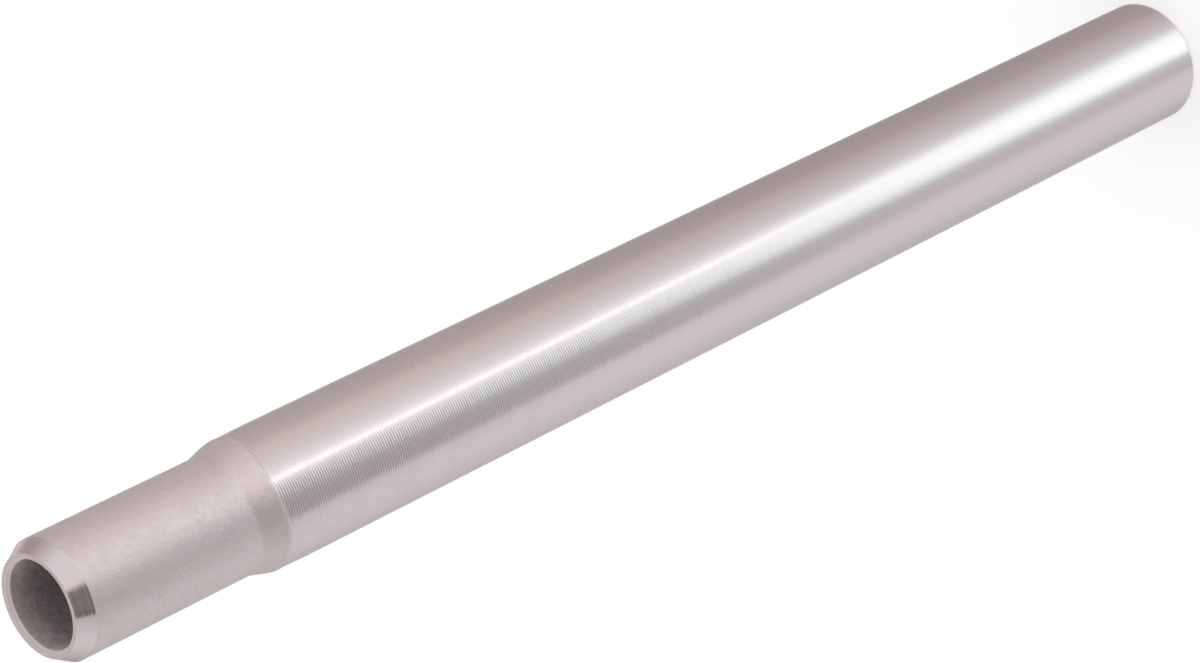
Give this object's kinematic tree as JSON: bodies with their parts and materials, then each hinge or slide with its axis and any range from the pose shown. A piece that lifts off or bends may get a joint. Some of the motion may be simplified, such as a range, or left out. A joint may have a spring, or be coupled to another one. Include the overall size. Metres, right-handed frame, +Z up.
{
  "type": "bicycle seatpost",
  "caption": "Straight aluminium bicycle seatpost: a turned tube swaged down at the top to a matt, chamfered neck for a separate saddle clamp.",
  "frame": {"origin": "centre of the square-cut bottom end face, the end that goes into the bicycle's frame", "axes": "+Z up along the tube's axis, from the frame end to the neck that the saddle's clamp grips; the tube is round, so X and Y are any pair across it"},
  "size_m": [0.025, 0.025, 0.3],
  "materials": {
    "turned_aluminium": "turned and polished tube, matt swaged neck, bare metal"
  },
  "bodies": {
    "root": {"seatpost_tube": "turned_aluminium"}
  },
  "joints": []
}
